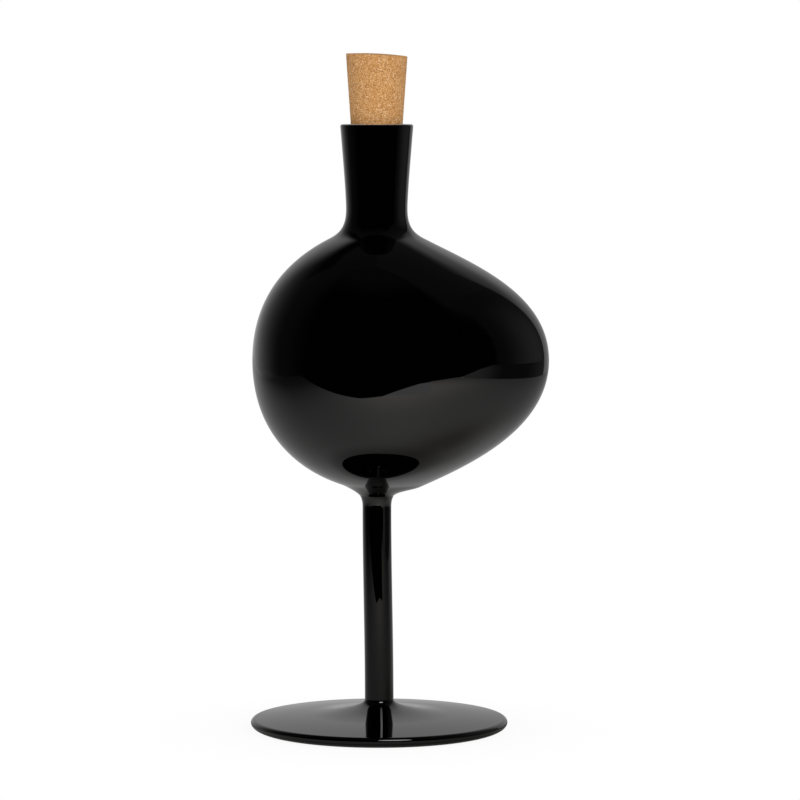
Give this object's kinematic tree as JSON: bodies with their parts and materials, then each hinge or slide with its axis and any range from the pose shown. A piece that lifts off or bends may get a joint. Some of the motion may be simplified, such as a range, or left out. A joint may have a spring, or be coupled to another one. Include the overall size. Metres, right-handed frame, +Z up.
{
  "type": "stemmed glass bottle",
  "caption": "Opaque black blown glass bottle with one side drawn out into a nose, on a stem and disc foot, closed with a tapered cork.",
  "frame": {"origin": "centre of the foot's flat underside, which stands on the table", "axes": "+Z up along the stem and neck, +X towards the drawn-out nose of the body, +Y to the back"},
  "size_m": [0.1349, 0.1164, 0.306],
  "materials": {
    "black_glass": "opaque black glass, fire-polished to a mirror gloss",
    "cork": "sanded agglomerated cork, matt, fine light and dark granules"
  },
  "bodies": {
    "glass": {"foot": "black_glass", "stem": "black_glass", "blown_body": "black_glass"},
    "cork": {"cork_stopper": "cork"}
  },
  "joints": [
    {"name": "cork_pull", "type": "slide", "parent": "glass", "child": "cork", "axis": [0, 0, 1], "range_m": [0, 0.05]}
  ]
}
